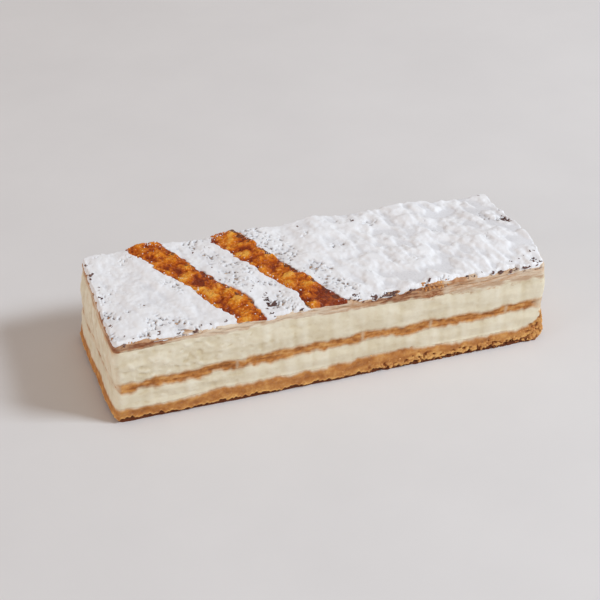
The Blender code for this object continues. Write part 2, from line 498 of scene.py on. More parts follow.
def dress_upper_cream(spots, outward, gaps):
    """Smeared under the top sheet and torn along that smear at the right, wiped thin at the left end."""
    stand, marks = dress_cream(spots, outward, gaps, stained(2, spots, outward, gaps[0]), 45.0, 1.0)
    streaks = lumps(spots, (9.0, 9.0, 1.6), 2, 36.0)
    front, _, _, left = sides_of(outward)
    above = stained(3, spots, outward, gaps[1])
    marks["scorch_and_shade"] = (1 - left) * above * np.clip(0.75 + 0.8 * streaks, 0, 1)
    past = gaps[1] + creep(3, spots, outward)
    torn = near(past, 0.4 + 1.5 * streaks, 0.40) * front * ease(40, 75, spots[:, 0] / MM)
    marks["cream"] -= 0.7 * torn * ease(-0.25, 0.15, lumps(spots, (8.0, 8.0, 6.0), 2, 49.0))
    marks["tone"] -= 0.35 * torn
    wiped = ease(0.12, 0.45, lumps(spots, (9.0, 3.5, 16.0), 2, 57.0))
    marks["cream"] -= left * np.maximum(0.20 * wiped, 0.75 * above)
    return stand, marks


# Where a knife drew a thread of cream down over the middle sheet: place and half width in mm
FRONT_THREADS = ((-60.0, 0.95), (15.4, 1.00), (57.9, 1.00), (105.8, 1.05))
THREAD_LEAN, THREAD_MIDDLE = 0.05, 27.0  # the threads lean a little to the right above this height


def dress_middle(spots, outward, gaps):
    """Thin leaves with cream drawn over them: in threads at the front, in patches on the other sides."""
    x, z = spots[:, 0] / MM, spots[:, 2] / MM
    front, right, back, left = sides_of(outward)
    layers = lumps(spots, (12.0, 12.0, 1.3), 2, 12.0)
    grain = lumps(spots, (3.2, 3.2, 2.2), 2, 6.0)
    veil = np.maximum(covered(1, spots, outward, gaps[0]), covered(2, spots, outward, gaps[1]))
    for place, width in FRONT_THREADS:
        across = x - THREAD_LEAN * (z - THREAD_MIDDLE)
        veil = np.maximum(veil, 0.42 * front * near(across, place, width))
    blotches = lumps(spots, (9.0, 9.0, 3.0), 2, 18.0)
    veil = np.maximum(veil, 0.80 * left * ease(-0.40, -0.10, blotches))
    veil = np.maximum(veil, right * ease(-0.10, 0.15, blotches))
    veil = np.maximum(veil, back * ease(0.25, 0.42, blotches))
    veil = np.maximum(veil, 0.7 * front * ease(121, 129, x))
    drags = cream_drags(spots)
    rough = calm(gaps) * (0.30 * layers + 0.20 * grain - 0.25)
    stand = swell(spots) + lerp(rough, DRAG_DEPTH * drags, np.maximum(veil, 1 - calm(gaps)))
    tone = lerp(0.47 + 0.22 * layers + 0.35 * grain + 0.40 * blotches, cream_tone(drags), veil)
    return stand, {"tone": tone, "scorch_and_shade": 0 * x, "cream": veil, "grit": 0.35 + 0 * x}


# The top sheet, its sugar and its caramel


def skirt(bm, rows):
    """Draws the rim of a sheet down in rows, and numbers the rows from 1 in a layer."""
    row_of = bm.verts.layers.int.new("row")
    rim = [edge for edge in bm.edges if edge.is_boundary]
    for row in range(1, rows + 1):
        drawn = bmesh.ops.extrude_edge_only(bm, edges=rim)["geom"]
        for item in drawn:
            if isinstance(item, bmesh.types.BMVert):
                item[row_of] = row
        rim = [
            item
            for item in drawn
            if isinstance(item, bmesh.types.BMEdge)
            and all(vert[row_of] == row for vert in item.verts)
        ]
    numbers = np.array([vert[row_of] for vert in bm.verts])
    bm.verts.layers.int.remove(bm.verts.layers.int["row"])
    return numbers


def draped_sheet(columns, rows, skirt_rows):
    """A flat sheet with a skirt: its mesh, its places in the unit square, and each vertex's row."""
    bm = bmesh.new()
    bmesh.ops.create_grid(bm, x_segments=columns, y_segments=rows, size=1.0)
    row = skirt(bm, skirt_rows)
    flat = np.array([vert.co for vert in bm.verts])
    return bm, flat[:, 0], flat[:, 1], row


def rim_drop(depth):
    """How far the rounded rim of the top sheet lies under its face."""
    inward = np.clip(depth / RIM_ROUND, 0.0, 1.0)
    return RIM_ROUND * (1.0 - np.sqrt(1.0 - (1.0 - inward) ** 2))


def pale_rim(x):
    """How pale the front rim of the top sheet is at each x in mm: cream is smeared over it there."""
    band = 0.95 * near(x, -66, 24) + 0.9 * near(x, -16, 27) + 0.60 * ease(70, 90, x)
    return np.clip(band + 0.8 * near(x, 66.5, 2.4), 0, 1)


def dress_rim(spots, outward, gaps):
    """The side of the top sheet: thin leaves that wander, brown in places and pale in others."""
    x, y = spots[:, 0] / MM, spots[:, 1] / MM
    front, _, _, left = sides_of(outward)
    wander = lumps(spots * (1, 1, 0), 24.0, 2, 31.0)
    leaf = (gaps[0] * 0.42 + 1.5 * wander) % 1.0
    slit = near(leaf, 0.5, 0.13) * ease(-0.15, 0.25, lumps(spots, (12.0, 12.0, 2.0), 2, 36.0))
    grain = lumps(spots, (3.0, 3.0, 1.2), 2, 33.0)
    flakes = lumps(spots, (7.0, 7.0, 1.2), 2, 35.0)
    stand = swell(spots) + DRAG_DEPTH * cream_drags(spots)
    stand += ease(0.0, 1.5, gaps[0]) * (0.14 * grain + 0.35 * flakes - 0.40 * slit)
    rosy = near(x, 36, 24) + 1.1 * near(x, -112, 15) + 0.4 * near(x, 90, 14)
    rosy = front * rosy + left * near(y, -46, 17)
    crumbly = front * near(x, 59, 6.5)
    veil = covered(3, spots, outward, gaps[0])
    film = ease(-0.25, 0.35, lumps(spots, (15.0, 15.0, 4.0), 2, 37.0)) * (1 - 0.8 * np.clip(rosy, 0, 1))
    pale = pale_rim(x) * front
    veil = np.maximum(veil, 0.30 * film * (1 - pale) + 0.30 * pale)
    tone = 0.66 + 0.45 * flakes + 0.15 * grain - 0.42 * slit * (1 - 0.75 * pale) - 0.45 * rosy + 0.26 * pale
    smeared = left * (0.55 - 0.55 * near(y, -46, 30)) * ease(-0.15, 0.15, flakes + 0.35 - 0.1 * gaps[0])
    veil = np.maximum(veil * (1 - crumbly), 0.85 * smeared)
    stand += crumbly * 0.8 * (pebbles(spots, 1.8, 4.0) - 0.3)
    dabs = ease(0.20, 0.42, lumps(spots, (3.4, 3.4, 1.6), 2, 39.0))
    edge = front * (0.15 + 0.85 * np.maximum(near(x, 30, 34), near(x, 122, 9))) + 0.6 * (1 - front)
    scorch_and_shade = dabs * ease(0.62, 0.90, ease(0.0, 5.0, gaps[0])) * edge
    veil = np.clip(veil, 0, 0.85)
    return stand, {"tone": tone, "scorch_and_shade": scorch_and_shade, "cream": veil, "grit": 0.3 + 0.6 * crumbly}


def make_top_pastry():
    """The top sheet: its face, which the sugar covers, and its rim, drawn down to the upper cream."""
    columns, rows = round(LONG / TOP_CELL), round(WIDE / TOP_CELL)
    bm, u, v, row = draped_sheet(columns, rows, TOP_ROWS + len(LEDGE))
    on_face = row == 0
    x, y, _, depth = plan(u, v, np.full(len(u), SHOULDER))
    crust = lumps(np.stack([x, y, 0 * x], 1), 6.0, 3, 51.0)
    face = TOP_FACE.at(x, y) - (SUGAR_DEPTH - CRUST * crust) * MM - rim_drop(depth)
    floor = seam(3, x, y) - OVERLAP
    z = lerp(floor, face, 1.0 - np.clip(row / TOP_ROWS, 0.0, 1.0))
    x, y, outward, _ = plan(u, v, z)
    spots = np.stack([x, y, z], 1)
    gaps = (z - floor) / MM, (face - z) / MM
    stand, marks = dress_rim(spots, outward, gaps)
    inset = np.array((0.0,) * (TOP_ROWS + 1) + LEDGE[::-1])[row]
    at_rim = np.where(on_face, 1.0 - ease(0.0, 2.0 * MM, depth), 1.0)
    places = moved_out(spots, outward, (stand * at_rim - inset) * MM)
    marks["scorch_and_shade"] = np.where(on_face, 0.6 * ease(0.15, 0.50, crust), marks["scorch_and_shade"])
    marks["cream"] = np.where(on_face, 0.45 * pale_rim(x / MM) * near(depth / MM, 0, 6), marks["cream"])
    marks["tone"] = np.where(on_face, 0.50 + 0.5 * crust + 0.40 * pale_rim(x / MM), marks["tone"])
    return build("top_pastry_leaves", bm, places, marks)


def band_edges(k, y):
    """The left and right edge of a band at each y, in mm, with their ragged line."""
    at_back, at_front, width = BANDS[k]
    middle = lerp(at_front, at_back, np.clip((y - TOP_LOW.y) / WIDE, -0.1, 1.1))
    edges = []
    for side in (-1, 1):
        line = np.stack([np.full_like(y, (k * 2 + side) * 0.03), y, np.zeros_like(y)], 1)
        ragged = 2.4 * lumps(line, 13.0, 2, 61.0) + 1.3 * lumps(line, 3.2, 3, 64.0)
        edges.append(middle + side * width / 2 + ragged)
    if k == 0:
        edges[0] -= 2.5 * ease(15, 45, y / MM)
        edges[1] -= 2.5 * ease(25, 45, -y / MM)
    else:  # sugar has run over the back left corner of this band
        edges[0] = edges[0] + 5.0 * ease(36, 46, y / MM) - 4.0 * ease(28, 45, -y / MM)
    return edges


def from_band(k, x, y):
    """How far a point lies outside a band, in mm square to its edge; negative inside it."""
    left, right = band_edges(k, y)
    return np.maximum(left - x / MM, x / MM - right) * math.cos(SLANT)


def sheet_height(x, y, depth):
    """Height of the top sheet under its sugar."""
    return TOP_FACE.at(x, y) - SUGAR_DEPTH * MM - rim_drop(depth)


def sugar_depth(x, y, depth):
    """Thickness of the sugar over the top sheet, in mm: below 0 where the sheet shows.

    Returns it with and without the drop towards the edges of the field.
    """
    flat = np.stack([x, y, 0 * x], 1)
    brushed = slanted(flat)
    x, y, depth = x / MM, y / MM, depth / MM
    ragged = 0.9 * lumps(flat, 5.0, 3, 71.0) + 0.5 * lumps(flat, 1.8, 2, 73.0)
    outside = np.minimum(from_band(0, flat[:, 0], flat[:, 1]), from_band(1, flat[:, 0], flat[:, 1]))
    coat = ease(-0.9, 0.3, outside + 0.4 * ragged)
    bare = 2.6 * ease(0.02, 0.36, lumps(flat, (16.0, 30.0, 1.0), 2, 72.0)) * (y < 0)
    bare *= ease(-104, -92, x)
    rim = ease(-0.2, 1.7, depth + ragged - bare)
    heaped = ease(-10, 60, x)
    ridges = lumps(brushed, (6.5, 13.0, 8.0), 2, 75.0)
    hollows = lumps(brushed, (10.0, 14.0, 8.0), 2, 77.0)
    clumps = pebbles(brushed, (5.5, 8.0, 5.5), 78.0) - 0.5
    fine = lumps(flat, 2.6, 2, 79.0)
    body = 1.40 + (0.7 + 1.1 * heaped) * ridges + (0.7 + 0.7 * heaped) * hollows + 0.28 * fine
    body += (0.2 + 0.5 * heaped) * clumps
    body = body + 1.2 * near(x, -128, 26) * near(y, 44, 24) + 0.9 * near(x, 128, 30) * near(y, -44, 30)
    body = np.clip(body, 0.60, 2.6)
    between = near(from_band(1, flat[:, 0], flat[:, 1]), 9.0, 8.0)
    rims = 1 - ease(2.0, 8.0, depth)
    worn = lumps(flat, 15.0, 2, 83.0) + 0.64 * between + 0.25 * rims * (y < 0) - 0.24 - 0.2 * heaped
    specks = ease(0.20, 0.42, lumps(flat, 1.9, 2, 81.0)) * ease(0.0, 0.40, worn)
    body = body - np.minimum(1.5 * specks, body - 0.03) - 0.25 * ease(0.0, 0.5, worn)
    return -0.5 + (body + 0.5) * np.minimum(coat, rim), body


def make_sugar(name, left_of, right_of):
    """One field of icing sugar, between two slanting limits given in mm at each y."""
    ends = np.array([TOP_LOW.y, TOP_HIGH.y])
    columns = round((right_of(ends) - left_of(ends)).max() * MM / SUGAR_CELL)
    bm, across, along, row = draped_sheet(columns, round(WIDE / SUGAR_CELL), SKIRT_ROWS)
    y = lerp(*ends, (along + 1) / 2)
    u, v = unplan(lerp(left_of(y), right_of(y), (across + 1) / 2) * MM, y)
    x, y, outward, depth = plan(u, v, np.full(len(u), SHOULDER))
    thick, body = sugar_depth(x, y, depth)
    sheet = sheet_height(x, y, depth)
    z = np.where(row > 0, sheet - (0.8 + SKIRT_STEP * row) * MM, sheet + thick * MM)
    inward = np.maximum(0.25 * MM - depth, 0) + np.where(row > 0, 0.4 * MM, 0.0)
    places = moved_out(np.stack([x, y, z], 1), outward, -inward)
    return build(name, bm, places, {"thick": body})


def caramel_rise(k, x, y):
    """Height of the caramel over the face of the strip in mm, with how light it is, partly painted light on
    the raised folds and painted shade in the creases, and how burnt it is, along the right edges partly
    painted shade.
    """
    spots = np.stack([x, y, np.full_like(x, 0.01 * k)], 1)
    warp = 2.5 * MM * np.stack([lumps(spots, 9.0, 2, 91.0 + 5 * i) for i in range(3)], 1)
    turned = slanted(spots) + warp
    folds = pebbles(turned, (11.0, 7.5, 9.0), 95.0)
    blisters = pebbles(turned, 4.2, 97.0)
    fine = lumps(spots, 1.8, 2, 99.0)
    left, right = band_edges(k, y)
    across = np.clip((x / MM - left) / np.maximum(right - left, 1), 0, 1)
    inside = 1.0 - ease(-0.8, 1.4, from_band(k, x, y))
    body = 0.55 + 2.8 * (folds - 0.45) + 0.9 * (blisters - 0.45) + 0.34 * fine
    body = np.where(body < 0, 0.45 * body, body)  # the creases do not reach the sheet
    rise = lerp(-1.4, body, inside)
    patches = lumps(spots, (7.0, 7.0, 6.0), 2, 101.0)
    y_share = np.abs(y / MM) / 45.0
    # Burnt patches, heaviest along the right edge of the band, where they also stand in as painted shade
    # from the higher sugar beside it
    burnt = ease(0.58, 0.95, across) * (0.30 + 1.7 * patches + 0.8 * fine) + 0.12 * ease(0.9, 1.0, y_share)
    burnt = ease(0.35, 0.85, burnt)
    # Painted light and shade: lighter on the raised folds and blisters, darker in the creases; the patches
    # vary it at random
    tone = 0.51 + 1.10 * (folds - 0.5) + 0.50 * (blisters - 0.5) + 0.30 * fine + 0.40 * patches
    return rise, tone, burnt


def make_caramel(name, k):
    """One band of burnt sugar: blisters and folds across the band, darker in the creases as painted shade.
    """
    width = BANDS[k][2] + 2 * BAND_MARGIN
    columns, rows = round(width * MM / CARAMEL_CELL), round(WIDE / CARAMEL_CELL)
    bm, across, along, row = draped_sheet(columns, rows, SKIRT_ROWS)
    share = (along + 1) / 2
    wanted = (lerp(BANDS[k][1], BANDS[k][0], share) + across * width / 2) * MM
    u, v = unplan(wanted, lerp(TOP_LOW.y, TOP_HIGH.y, share))
    x, y, outward, depth = plan(u, v, np.full(len(u), SHOULDER))
    rise, tone, burnt = caramel_rise(k, x, y)
    face = TOP_FACE.at(x, y) - rim_drop(depth)
    z = np.where(row > 0, face - (1.9 + SKIRT_STEP * row) * MM, face + rise * MM)
    beside = ease(-0.5, 1.5, from_band(k, x, y))  # tucked in where the sugar covers it
    inward = lerp(np.where(row > 0, 0.6, -0.15), 1.2, beside) * MM * (depth < 0.5 * MM)
    places = moved_out(np.stack([x, y, z], 1), outward, -inward)
    return build(name, bm, places, {"tone": tone, "burnt": burnt})


# Loose bits: flakes, crumbs and grains, each kind in one piece


noise.seed_set(1)  # without a fixed seed, noise_vector differs on each run


def make_flake(seed):
    """A thin curled leaf of burnt pastry, about 2 across."""
    bm = bmesh.new()
    bmesh.ops.create_grid(bm, x_segments=3, y_segments=2, size=1.0)
    for vert in bm.verts:
        ragged = 0.6 * noise.noise_vector(vert.co * 0.9 + Vector((seed * 7.3, 0, 0)))
        vert.co = vert.co * Vector((0.9, 0.55, 1.0)) + ragged * 0.5
        vert.co.z += 0.35 * vert.co.x * vert.co.x
    bm.normal_update()
    bmesh.ops.solidify(bm, geom=bm.faces[:], thickness=0.28)
    return template(bm)


def make_crumb(seed):
    """A knobbly crumb, about 2 across."""
    bm = bmesh.new()
    bmesh.ops.create_icosphere(bm, subdivisions=1, radius=1.0)
    for vert in bm.verts:
        vert.co *= 1.0 + 0.55 * noise.noise(vert.co * 1.3 + Vector((seed * 5.1, 0, 0)))
        vert.co.z *= 0.8
    return template(bm)


def template(bm):
    bmesh.ops.recalc_face_normals(bm, faces=bm.faces)
    mesh = bpy.data.meshes.new("template")
    bm.to_mesh(mesh)
    bm.free()
    return mesh


def scatter(name, make_one, spots, ups, sizes, seed, tilt):
    """One piece out of many copies of four small shapes, each resting on its spot with its own turn."""
    draw = np.random.RandomState(seed)
    shapes = [make_one(seed + i) for i in range(4)]
    bm = bmesh.new()
    for spot, up, size in zip(spots, ups, sizes):
        shape = shapes[draw.randint(4)].copy()
        lean = Vector(up) + tilt * Vector(draw.uniform(-1, 1, 3))
        turn = lean.to_track_quat("Z", "Y").to_matrix().to_4x4()
        spin = Matrix.Rotation(draw.uniform(0, 2 * math.pi), 4, "Z")
        stretch = Matrix.Diagonal((*(draw.uniform(0.75, 1.25, 3) * size / 2 * MM), 1.0))
        shape.transform(Matrix.Translation(Vector(spot)) @ turn @ spin @ stretch)
        bm.from_mesh(shape)
        bpy.data.meshes.remove(shape)
    return make_object(name, bm)


def on_top(x, y):
    """Spots on the finished top, whether sugar or caramel, for x and y in mm."""
    u, v = unplan(np.array(x) * MM, np.array(y) * MM)
    x, y, outward, depth = plan(u, v, np.full(len(u), SHOULDER))
    z = sheet_height(x, y, depth) + np.maximum(sugar_depth(x, y, depth)[0], 0.0) * MM
    for k in range(len(BANDS)):
        z = np.maximum(z, TOP_FACE.at(x, y) - rim_drop(depth) + caramel_rise(k, x, y)[0] * MM)
    ups = np.concatenate([outward * (1 - ease(0, RIM_ROUND, depth))[:, None], np.ones((len(u), 1))], 1)
    return np.stack([x, y, z], 1), ups


FRONT_RIM = -44.8  # y of the front rim of the top, in mm

# The larger burnt leaves on the sugar: x, y and size in mm
LARGE_FLAKES = np.array(
    [(-36, -34, 5.2), (-22, -44, 3.4), (22, -43.5, 3.2), (31, -44, 3.8), (117, -44, 4.2), (-83, -44, 3.2)]
)


def scatter_dark_flakes():
    """Scorched flakes: most of them along the front edge, at the right end and beside the bands."""
    draw = np.random.RandomState(5)
    groups = (  # x and y of each
        (draw.uniform(-8, 62, 24), FRONT_RIM + np.abs(draw.normal(0, 2.6, 24))),
        (draw.uniform(-127, -30, 18), FRONT_RIM + np.abs(draw.normal(0, 1.8, 18))),
        (draw.uniform(64, 112, 12), FRONT_RIM + np.abs(draw.normal(0, 1.8, 12))),
        (128 - np.abs(draw.normal(0, 7.0, 16)), -44 + np.abs(draw.normal(0, 5, 16))),
        (129 - np.abs(draw.normal(0, 3.0, 8)), draw.uniform(-42, 42, 8)),
        (-129 + np.abs(draw.normal(0, 2.0, 7)), draw.uniform(-42, 43, 7)),
        (draw.uniform(-126, 126, 4), 38.0 - np.abs(draw.normal(0, 3.5, 4))),
        (draw.normal(-38, 2.5, 10), draw.normal(-29, 4.0, 10)),
    )
    x, y = np.concatenate(groups, 1)
    sizes = 1.0 + 2.2 * draw.uniform(0, 1, len(x)) ** 2

    # small ones between the two bands and to the right of the second
    between, beyond = 20, 24
    small_y = draw.uniform(-44, 44, between + beyond)
    past = np.concatenate([1.3 * draw.uniform(1, 17, between), 23 + draw.uniform(20.5, 34, beyond)])
    half = 9.5  # half the first band's width
    small_x = past + np.interp(small_y, (-45, 45), (BANDS[0][1] + half, BANDS[0][0] + half))
    small_sizes = draw.uniform(0.7, 1.5, between + beyond)

    large_x, large_y, large_sizes = LARGE_FLAKES.T
    x, y = np.concatenate([x, small_x, large_x]), np.concatenate([y, small_y, large_y])
    sizes = np.concatenate([sizes, small_sizes, large_sizes])
    keep = np.minimum(from_band(0, x * MM, y * MM), from_band(1, x * MM, y * MM)) > 0.4
    spots, ups = on_top(x[keep], y[keep])
    return scatter("dark_flakes", make_flake, spots, ups, sizes[keep], 11, 0.30)


def scatter_grains():
    """Little lumps of icing sugar on the caramel, mostly along its edges."""
    draw = np.random.RandomState(8)
    x, y = [], []
    count = 60
    for k in range(len(BANDS)):
        along = draw.uniform(-45, 45, count)
        left, right = band_edges(k, along * MM)
        inset = np.abs(draw.normal(0, 1.9, count)) - 0.3
        x.append(np.where(draw.uniform(0, 1, count) < 0.5, left + inset, right - inset))
        y.append(along)
    # the spill over the back left corner of the second band, and the back of the first
    x.append(np.concatenate([draw.normal(-48, 4.0, 40), draw.normal(-86, 5.0, 30)]))
    y.append(44.5 - np.abs(draw.normal(0, 3.5, len(x[-1]))))
    spots, ups = on_top(np.concatenate(x), np.concatenate(y))
    sizes = 0.35 + 0.9 * draw.uniform(0, 1, len(spots)) ** 2
    return scatter("sugar_grains", make_crumb, spots, ups, sizes, 21, 0.6)


def scatter_crumbs():
    """Golden crumbs that broke off the base: at its foot, and thickest at the right end."""
    draw = np.random.RandomState(13)
    corner = 0.372  # the front right one, as a share of the way round
    stretches = (
        draw.uniform(0.19, corner, 90),
        corner - np.abs(draw.normal(0, 0.012, 70)),
        draw.uniform(corner, 0.50, 150),
        draw.uniform(0.50, 0.87, 110),
    )
    perimeter = np.concatenate(stretches)
    u, v = around(perimeter)
    share = np.abs(draw.normal(0, 0.30, len(u)))
    high_up = draw.uniform(0, 1, len(u)) < near(perimeter, 0.43, 0.07)
    share = np.clip(np.where(high_up, draw.uniform(0.1, 1, len(u)), share), 0.08, 1)
    spots, outward, gaps = side_spots(0, u, v, share)
    stand, _ = dress_base(spots, outward, gaps)
    spots = moved_out(spots, outward, (stand - 0.30) * MM)
    ups = np.concatenate([outward, 0.2 * np.ones((len(u), 1))], 1)
    # a few more where the front edge of the top sheet is broken
    count = 46
    rim_x = draw.normal(58.5, 4.5, count)
    rim_spots, rim_ups = on_top(rim_x, -45.6 + np.abs(draw.normal(0, 0.7, count)))
    over_rim = rim_spots[:, 1] < -44.5 * MM
    rim_spots[:, 2] -= draw.uniform(0.0, 3.0, count) * over_rim * MM
    spots, ups = np.concatenate([spots, rim_spots]), np.concatenate([ups, rim_ups])
    sizes = draw.uniform(0.8, 1.8, len(spots))
    spots[:, 2] = np.maximum(spots[:, 2], 0.65 * sizes * MM)  # clear of the floor
    return scatter("golden_crumbs", make_crumb, spots, ups, sizes, 31, 0.5)


# Materials


class Finish:
    """A small helper that wires up one material."""

    def __init__(self, name):
        self.material = bpy.data.materials.new(name)
        self.material.use_nodes = True
        self.nodes = self.material.node_tree.nodes
        self.links = self.material.node_tree.links
        self.shader = self.nodes["Principled BSDF"]
        self.place = self.nodes.new("ShaderNodeTexCoord").outputs["Object"]

    def feed(self, socket, value):
        """Puts a number or a colour in a socket, or links another node's output to it."""
        if isinstance(value, (int, float)):
            socket.default_value = value
        elif isinstance(value, tuple):
            socket.default_value = (*value, 1.0)
        else:
            self.links.new(value, socket)

    def noise(self, size, detail=4.0, roughness=0.55):
        """Noise with features about this many mm across, as a value from 0 to 1."""
        node = self.nodes.new("ShaderNodeTexNoise")
        node.inputs["Scale"].default_value = 1.0 / (size * MM)
        node.inputs["Detail"].default_value = detail
        node.inputs["Roughness"].default_value = roughness
        self.links.new(self.place, node.inputs["Vector"])
        return node.outputs["Fac"]

    def mark(self, name):
        """One of the values that build wrote on the vertices."""
        node = self.nodes.new("ShaderNodeAttribute")
        node.attribute_name = name
        return node.outputs["Fac"]

    def math(self, operation, a, b):
        node = self.nodes.new("ShaderNodeMath")
        node.operation = operation
        for socket, value in zip(node.inputs, (a, b)):
            self.feed(socket, value)
        return node.outputs["Value"]

    def clamp(self, value):
        node = self.nodes.new("ShaderNodeClamp")
        self.links.new(value, node.inputs["Value"])
        return node.outputs["Result"]

    def span(self, value, low, high, to_low=0.0, to_high=1.0):
        """A smooth rise from to_low to to_high while the value goes from low to high."""
        node = self.nodes.new("ShaderNodeMapRange")
        node.interpolation_type = "SMOOTHSTEP"
        self.links.new(value, node.inputs["Value"])
        ends = (low, high, to_low, to_high)
        for key, number in zip(("From Min", "From Max", "To Min", "To Max"), ends):
            node.inputs[key].default_value = number
        return node.outputs["Result"]

    def ramp(self, value, *stops):
        node = self.nodes.new("ShaderNodeValToRGB")
        elements = node.color_ramp.elements
        while len(elements) < len(stops):
            elements.new(0.5)
        for element, (position, colour) in zip(elements, stops):
            element.position = position
            element.color = (*colour, 1.0)
        self.links.new(value, node.inputs["Fac"])
        return node.outputs["Color"]

    def mix(self, share, a, b):
        node = self.nodes.new("ShaderNodeMix")
        node.data_type = "RGBA"
        for key, value in (("Factor", share), ("A", a), ("B", b)):
            self.feed(node.inputs[key], value)
        return node.outputs["Result"]

    def bump(self, height, strength, distance):
        node = self.nodes.new("ShaderNodeBump")
        node.inputs["Strength"].default_value = strength
        node.inputs["Distance"].default_value = distance * MM
        self.links.new(height, node.inputs["Height"])
        return node.outputs["Normal"]

    def finish(self, colour, roughness, normal=None, **constants):
        self.feed(self.shader.inputs["Base Color"], colour)
        self.feed(self.shader.inputs["Roughness"], roughness)
        if normal is not None:
            self.feed(self.shader.inputs["Normal"], normal)
        for key, value in constants.items():
            self.shader.inputs[key.replace("_", " ")].default_value = value
        return self.material


# Dark, middle and light of each layer
CREAM_COLOURS = ((0.70, 0.61, 0.42), (0.80, 0.735, 0.565), (0.87, 0.82, 0.67))
BASE_COLOURS = ((0.30, 0.095, 0.02), (0.50, 0.205, 0.052), (0.76, 0.42, 0.13))
RUBBED_COLOURS = ((0.34, 0.13, 0.03), (0.53, 0.235, 0.070), (0.76, 0.44, 0.15))
MIDDLE_COLOURS = ((0.30, 0.10, 0.02), (0.51, 0.205, 0.048), (0.70, 0.37, 0.12))
TOP_COLOURS = ((0.27, 0.085, 0.030), (0.52, 0.270, 0.130), (0.67, 0.51, 0.37))

# What the mark "scorch" turns each layer to: scorched crust and stains, and on the base and the lower cream
# also painted shade
# Burnt crust at the base's foot made darker as painted shade, and painted shade in the base's pores
FOOT = (0.16, 0.040, 0.008)
# Painted shade in the pores of the base crumbs dragged into the lower cream
PORES = (0.20, 0.070, 0.022)
SMEAR = (0.55, 0.38, 0.25)
SCORCHED = (0.055, 0.016, 0.006)
SCORCHED_RIM = (0.13, 0.04, 0.03)


def layer_finish(name, colours, stain):
    """Pastry and cream in one finish: the mark "cream" says which of them shows, "grit" how crumbly."""
    f = Finish(name)
    grit = f.mark("grit")
    fine = f.math("SUBTRACT", f.noise(0.9, 4.0, 0.6), 0.5)
    soft = f.math("SUBTRACT", f.noise(3.5, 3.0, 0.5), 0.5)
    speckle = f.math("MULTIPLY", fine, f.span(grit, 0.0, 1.0, 0.22, 1.1))
    spread = f.math("ADD", f.math("ADD", f.mark("tone"), speckle), f.math("MULTIPLY", soft, 0.25))
    pastry = f.ramp(spread, *zip((0.10, 0.50, 0.92), colours))
    cream_tone = f.math("ADD", f.mark("tone"), f.math("MULTIPLY", fine, 0.10))
    cream = f.ramp(cream_tone, *zip((0.05, 0.5, 0.95), CREAM_COLOURS))
    ragged = f.math("MULTIPLY", f.math("SUBTRACT", f.noise(1.6, 3.0), 0.5), 0.35)
    veil = f.clamp(f.math("ADD", f.mark("cream"), ragged))
    colour = f.mix(veil, pastry, cream)
    # The scorch mark: scorched crust and stains, and on the base and the lower cream painted shade at the
    # foot and in the pores
    burnt = f.span(f.math("ADD", f.mark("scorch_and_shade"), ragged), 0.15, 0.95)
    colour = f.mix(burnt, colour, stain)
    crumb = f.math("MULTIPLY", f.noise(0.7, 4.0, 0.6), f.span(grit, 0.0, 1.0, 0.15, 1.0))
    grain = f.bump(f.math("MULTIPLY", crumb, f.span(veil, 0.0, 1.0, 1.0, 0.3)), 0.6, 0.30)
    rough = f.span(veil, 0.0, 1.0, 0.80, 0.46)
    return f.finish(colour, rough, grain, Specular_IOR_Level=0.35)


def sugar_finish():
    """White powder, greyed by painted shade where its surface sinks, with the dark sheet showing through
    where it is thin.
    """
    f = Finish("icing_sugar")
    patchy = f.math("MULTIPLY", f.math("SUBTRACT", f.noise(1.1, 4.0), 0.5), 0.7)
    thin = f.span(f.math("ADD", f.mark("thick"), patchy), -0.10, 0.65, 1.0, 0.0)
    clean = f.ramp(f.noise(5.0, 4.0), (0.3, (0.83, 0.84, 0.87)), (0.7, (0.885, 0.895, 0.915)))
    # Painted shade: greyer where the sugar's surface sinks
    painted_dip_shade = f.span(f.mark("thick"), 0.45, 1.30, 0.40, 0.0)
    clean = f.mix(painted_dip_shade, clean, (0.64, 0.65, 0.69))
    colour = f.mix(f.math("MULTIPLY", thin, 0.85), clean, (0.22, 0.18, 0.18))
    powder = f.bump(f.noise(0.9, 4.0, 0.6), 0.25, 0.22)
    return f.finish(colour, 0.95, powder, Specular_IOR_Level=0.15)


def caramel_finish():
    """Glossy burnt sugar, deep red in its creases and gold on its raised folds as painted shade and light,
    with painted glints and burnt edges that are partly painted shade.
    """
    f = Finish("caramel")
    streaks = f.math("MULTIPLY", f.math("SUBTRACT", f.noise(1.6, 4.0), 0.5), 0.55)
    # The ramp runs from painted shade in the creases, deep red, to painted light on the raised folds, gold
    amber = f.ramp(
        f.math("ADD", f.mark("tone"), streaks),
        (0.05, (0.22, 0.026, 0.002)),
        (0.28, (0.42, 0.072, 0.002)),
        (0.52, (0.62, 0.150, 0.003)),
        (0.78, (0.78, 0.250, 0.010)),
        (1.00, (0.90, 0.430, 0.060)),
    )
    # The burnt mark: burnt caramel, and along the right edges partly painted shade
    edge = f.math("ADD", f.mark("burnt"), f.math("MULTIPLY", streaks, 0.8))
    # Painted glints: pale gold specks on the raised folds, in place of reflections of the lamps
    raised = f.span(f.mark("tone"), 0.35, 0.65, 0.1, 0.75)
    painted_glints = f.math("MULTIPLY", f.span(f.noise(0.9, 2.0), 0.60, 0.70), raised)
    colour = f.mix(painted_glints, amber, (1.0, 0.54, 0.18))
    colour = f.mix(f.span(edge, 0.25, 0.95, 0.0, 0.9), colour, (0.12, 0.028, 0.016))
    grain = f.bump(f.noise(1.8, 3.0, 0.55), 1.0, 1.8)
    rough = f.span(f.noise(3.0, 3.0), 0.3, 0.7, 0.08, 0.17)
    return f.finish(colour, rough, grain, Specular_IOR_Level=0.28)


